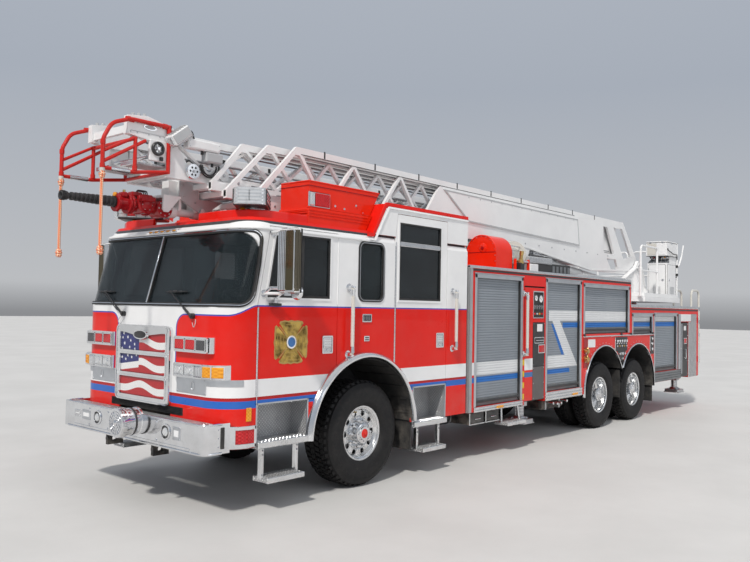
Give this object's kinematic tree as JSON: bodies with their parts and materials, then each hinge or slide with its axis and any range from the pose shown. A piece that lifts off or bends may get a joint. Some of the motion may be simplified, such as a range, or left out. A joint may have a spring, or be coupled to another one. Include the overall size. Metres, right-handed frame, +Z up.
{
  "type": "aerial ladder fire engine",
  "caption": "Crew-cab fire engine with a rear-mounted telescopic ladder on a slewing turntable, tandem rear axle, side lockers, sliding stabilizers and opening doors.",
  "frame": {"origin": "on the ground under the middle of the machine's bounding box", "axes": "+X forward, +Y to the vehicle's left, +Z up"},
  "size_m": [13.512, 3.38, 3.665],
  "materials": {
    "red_paint": "gloss",
    "white_paint": "gloss",
    "black_paint": "satin",
    "grey_paint": "satin",
    "glass": "gloss",
    "black_plastic": "matte",
    "seat_fabric": "matte",
    "cast_iron": "matte",
    "chrome": "polished",
    "red_lens": "gloss",
    "tread_plate": "satin",
    "brushed_steel": "brushed",
    "polished_aluminium": "polished",
    "tyre": "matte",
    "rope": "matte"
  },
  "bodies": {
    "truck": {"cab_shell": "red_paint", "cab_glass": "glass", "dashboard": "black_plastic", "seats": "seat_fabric", "engine": "cast_iron", "grille_and_headlights": "chrome", "front_bumper": "red_paint", "roof_boxes": "red_paint", "lightbars": "red_lens", "cab_steps": "tread_plate", "chassis_frame": "black_paint", "front_axle": "black_paint", "drive_axles": "black_paint", "body": "red_paint", "roller_shutters": "grey_paint", "hose_reel": "red_paint", "grab_rails": "brushed_steel"},
    "left_knuckle": {"left_knuckle": "black_paint"},
    "front_left_wheel": {"front_left_tyre": "tyre", "front_left_rim": "polished_aluminium"},
    "axle_2_left_wheels": {"axle_2_left_tyres": "tyre", "axle_2_left_rims": "polished_aluminium"},
    "axle_3_left_wheels": {"axle_3_left_tyres": "tyre", "axle_3_left_rims": "polished_aluminium"},
    "right_knuckle": {"right_knuckle": "black_paint"},
    "front_right_wheel": {"front_right_tyre": "tyre", "front_right_rim": "polished_aluminium"},
    "axle_2_right_wheels": {"axle_2_right_tyres": "tyre", "axle_2_right_rims": "polished_aluminium"},
    "axle_3_right_wheels": {"axle_3_right_tyres": "tyre", "axle_3_right_rims": "polished_aluminium"},
    "front_left_door": {"front_left_door": "red_paint", "front_left_door_glass": "glass"},
    "rear_left_door": {"rear_left_door": "red_paint", "rear_left_door_glass": "glass"},
    "front_right_door": {"front_right_door": "red_paint", "front_right_door_glass": "glass"},
    "rear_right_door": {"rear_right_door": "red_paint", "rear_right_door_glass": "glass"},
    "turntable": {"turntable": "white_paint", "operator_console": "brushed_steel"},
    "base_section": {"ladder_base_section": "white_paint"},
    "second_section": {"ladder_second_section": "white_paint"},
    "third_section": {"ladder_third_section": "white_paint"},
    "fly_section": {"ladder_fly_section": "white_paint", "tip_rails": "red_paint", "left_rope": "rope", "right_rope": "rope", "rope_knots": "rope"},
    "water_monitor": {"water_monitor": "red_paint"},
    "lift_cylinder_barrels": {"lift_cylinder_barrels": "white_paint"},
    "lift_cylinder_rods": {"lift_cylinder_rods": "chrome"},
    "front_left_outrigger": {"front_left_outrigger": "black_paint"},
    "front_left_jack": {"front_left_jack": "brushed_steel"},
    "front_right_outrigger": {"front_right_outrigger": "black_paint"},
    "front_right_jack": {"front_right_jack": "brushed_steel"},
    "rear_left_outrigger": {"rear_left_outrigger": "black_paint"},
    "rear_left_jack": {"rear_left_jack": "brushed_steel"},
    "rear_right_outrigger": {"rear_right_outrigger": "black_paint"},
    "rear_right_jack": {"rear_right_jack": "brushed_steel"}
  },
  "joints": [
    {"name": "left_steering", "type": "hinge", "parent": "truck", "child": "left_knuckle", "pos_m": [3.926, 0.8, 0.563], "axis": [0, 0, 1], "range_deg": [-36, 36]},
    {"name": "front_left_wheel_spin", "type": "hinge", "parent": "left_knuckle", "child": "front_left_wheel", "pos_m": [3.926, 1.01, 0.563], "axis": [0, 1, 0], "continuous": true},
    {"name": "axle_2_left_wheels_spin", "type": "hinge", "parent": "truck", "child": "axle_2_left_wheels", "pos_m": [-1.878, 0.9, 0.542], "axis": [0, 1, 0], "continuous": true},
    {"name": "axle_3_left_wheels_spin", "type": "hinge", "parent": "truck", "child": "axle_3_left_wheels", "pos_m": [-3.248, 0.9, 0.542], "axis": [0, 1, 0], "continuous": true},
    {"name": "right_steering", "type": "hinge", "parent": "truck", "child": "right_knuckle", "pos_m": [3.926, -0.8, 0.563], "axis": [0, 0, 1], "range_deg": [-36, 36]},
    {"name": "front_right_wheel_spin", "type": "hinge", "parent": "right_knuckle", "child": "front_right_wheel", "pos_m": [3.926, -1.01, 0.563], "axis": [0, 1, 0], "continuous": true},
    {"name": "axle_2_right_wheels_spin", "type": "hinge", "parent": "truck", "child": "axle_2_right_wheels", "pos_m": [-1.878, -0.9, 0.542], "axis": [0, 1, 0], "continuous": true},
    {"name": "axle_3_right_wheels_spin", "type": "hinge", "parent": "truck", "child": "axle_3_right_wheels", "pos_m": [-3.248, -0.9, 0.542], "axis": [0, 1, 0], "continuous": true},
    {"name": "front_left_door_hinge", "type": "hinge", "parent": "truck", "child": "front_left_door", "pos_m": [5.488, 1.272, 1.8], "axis": [0, 0, -1], "range_deg": [0, 75]},
    {"name": "rear_left_door_hinge", "type": "hinge", "parent": "truck", "child": "rear_left_door", "pos_m": [3.533, 1.272, 1.8], "axis": [0, 0, -1], "range_deg": [0, 75]},
    {"name": "front_right_door_hinge", "type": "hinge", "parent": "truck", "child": "front_right_door", "pos_m": [5.488, -1.272, 1.8], "axis": [0, 0, 1], "range_deg": [0, 75]},
    {"name": "rear_right_door_hinge", "type": "hinge", "parent": "truck", "child": "rear_right_door", "pos_m": [3.533, -1.272, 1.8], "axis": [0, 0, 1], "range_deg": [0, 75]},
    {"name": "turntable_slew", "type": "hinge", "parent": "truck", "child": "turntable", "pos_m": [-4.674, 0, 2.15], "axis": [0, 0, 1], "continuous": true},
    {"name": "ladder_elevation", "type": "hinge", "parent": "turntable", "child": "base_section", "pos_m": [-4.694, 0, 2.8], "axis": [0, -1, 0], "range_deg": [0, 75]},
    {"name": "second_section_slide", "type": "slide", "parent": "base_section", "child": "second_section", "axis": [1, 0, 0], "range_m": [0, 7]},
    {"name": "third_section_slide", "type": "slide", "parent": "second_section", "child": "third_section", "axis": [1, 0, 0], "range_m": [0, 7]},
    {"name": "fly_section_slide", "type": "slide", "parent": "third_section", "child": "fly_section", "axis": [1, 0, 0], "range_m": [0, 7]},
    {"name": "monitor_tilt", "type": "hinge", "parent": "fly_section", "child": "water_monitor", "pos_m": [5.726, 0, 2.855], "axis": [0, -1, 0], "range_deg": [-45, 30]},
    {"name": "lift_cylinder_swing", "type": "hinge", "parent": "turntable", "child": "lift_cylinder_barrels", "pos_m": [-3.924, 0, 2.445], "axis": [0, -1, 0], "range_deg": [0, 82]},
    {"name": "lift_cylinder_stroke", "type": "slide", "parent": "lift_cylinder_barrels", "child": "lift_cylinder_rods", "axis": [0.995, 0, 0.0995], "range_m": [0, 0.99]},
    {"name": "front_left_outrigger_slide", "type": "slide", "parent": "truck", "child": "front_left_outrigger", "axis": [0, 1, 0], "range_m": [0, 1.45]},
    {"name": "front_left_jack_stroke", "type": "slide", "parent": "front_left_outrigger", "child": "front_left_jack", "axis": [0, 0, -1], "range_m": [0, 0.325]},
    {"name": "front_right_outrigger_slide", "type": "slide", "parent": "truck", "child": "front_right_outrigger", "axis": [0, -1, 0], "range_m": [0, 1.45]},
    {"name": "front_right_jack_stroke", "type": "slide", "parent": "front_right_outrigger", "child": "front_right_jack", "axis": [0, 0, -1], "range_m": [0, 0.325]},
    {"name": "rear_left_outrigger_slide", "type": "slide", "parent": "truck", "child": "rear_left_outrigger", "axis": [0, 1, 0], "range_m": [0, 1.45]},
    {"name": "rear_left_jack_stroke", "type": "slide", "parent": "rear_left_outrigger", "child": "rear_left_jack", "axis": [0, 0, -1], "range_m": [0, 0.325]},
    {"name": "rear_right_outrigger_slide", "type": "slide", "parent": "truck", "child": "rear_right_outrigger", "axis": [0, -1, 0], "range_m": [0, 1.45]},
    {"name": "rear_right_jack_stroke", "type": "slide", "parent": "rear_right_outrigger", "child": "rear_right_jack", "axis": [0, 0, -1], "range_m": [0, 0.325]}
  ],
  "couplings": [
    {"joint": "right_steering", "follows": "left_steering", "ratio": 1},
    {"joint": "third_section_slide", "follows": "second_section_slide", "ratio": 1},
    {"joint": "fly_section_slide", "follows": "second_section_slide", "ratio": 1},
    {"joint": "lift_cylinder_swing", "follows": "ladder_elevation", "ratio": 1.0652},
    {"joint": "lift_cylinder_stroke", "follows": "ladder_elevation", "m_per_rad": 0.7437}
  ]
}
